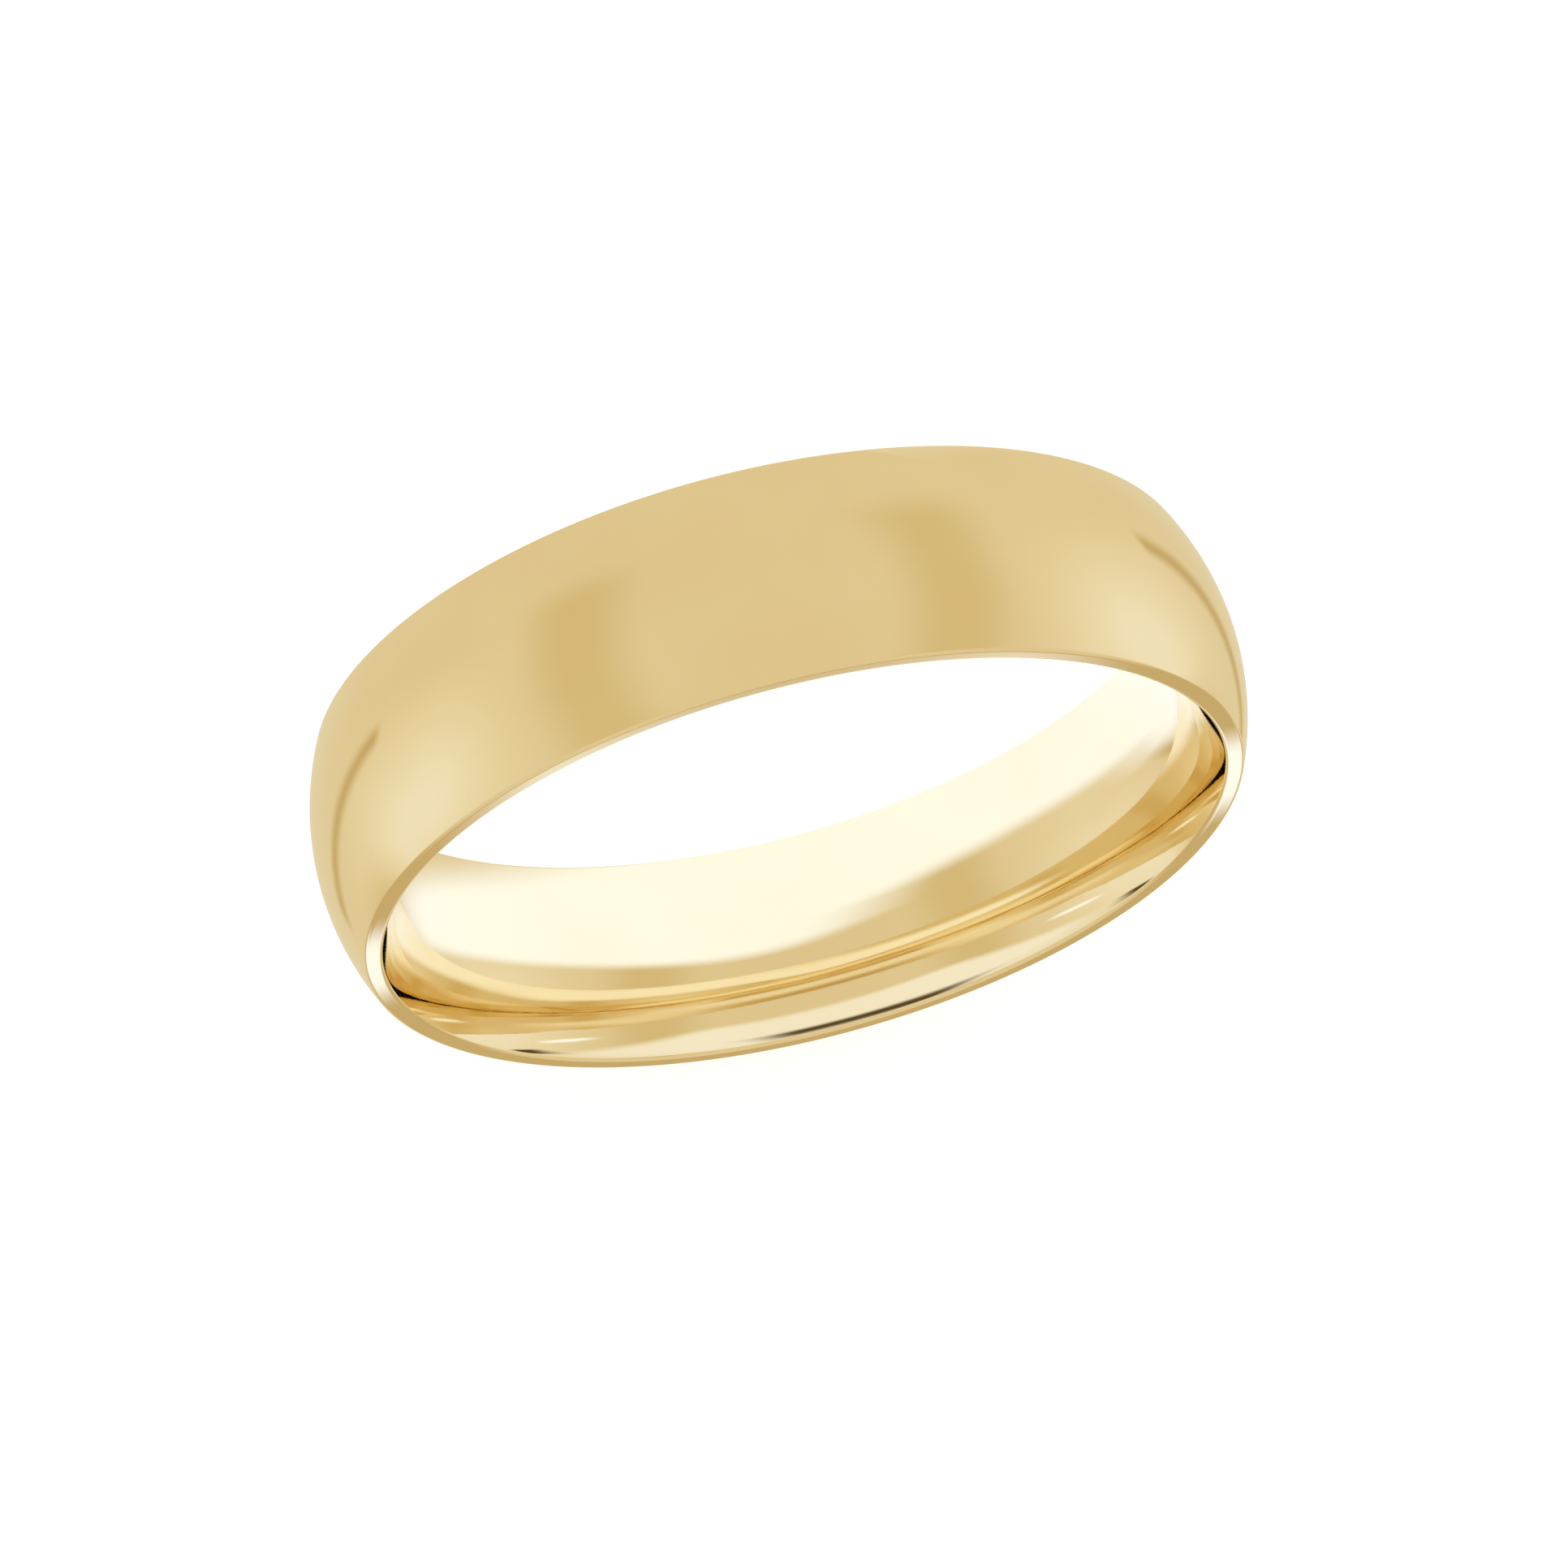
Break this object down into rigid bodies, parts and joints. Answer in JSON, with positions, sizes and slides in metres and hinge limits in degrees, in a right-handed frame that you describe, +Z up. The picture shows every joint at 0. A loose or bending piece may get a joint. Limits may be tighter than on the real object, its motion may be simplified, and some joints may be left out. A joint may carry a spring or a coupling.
{
  "type": "wedding band",
  "caption": "Plain polished yellow-gold ring with a low domed outside and a comfort-fit bore, to be worn on a finger.",
  "frame": {"origin": "centre of the bore, midway between the two side faces", "axes": "+Y along the finger axis, +Z up with the ring standing on edge; the ring is the same all round"},
  "size_m": [0.0228, 0.0054, 0.0228],
  "materials": {
    "gold": "polished"
  },
  "bodies": {
    "root": {"band": "gold"}
  },
  "joints": []
}
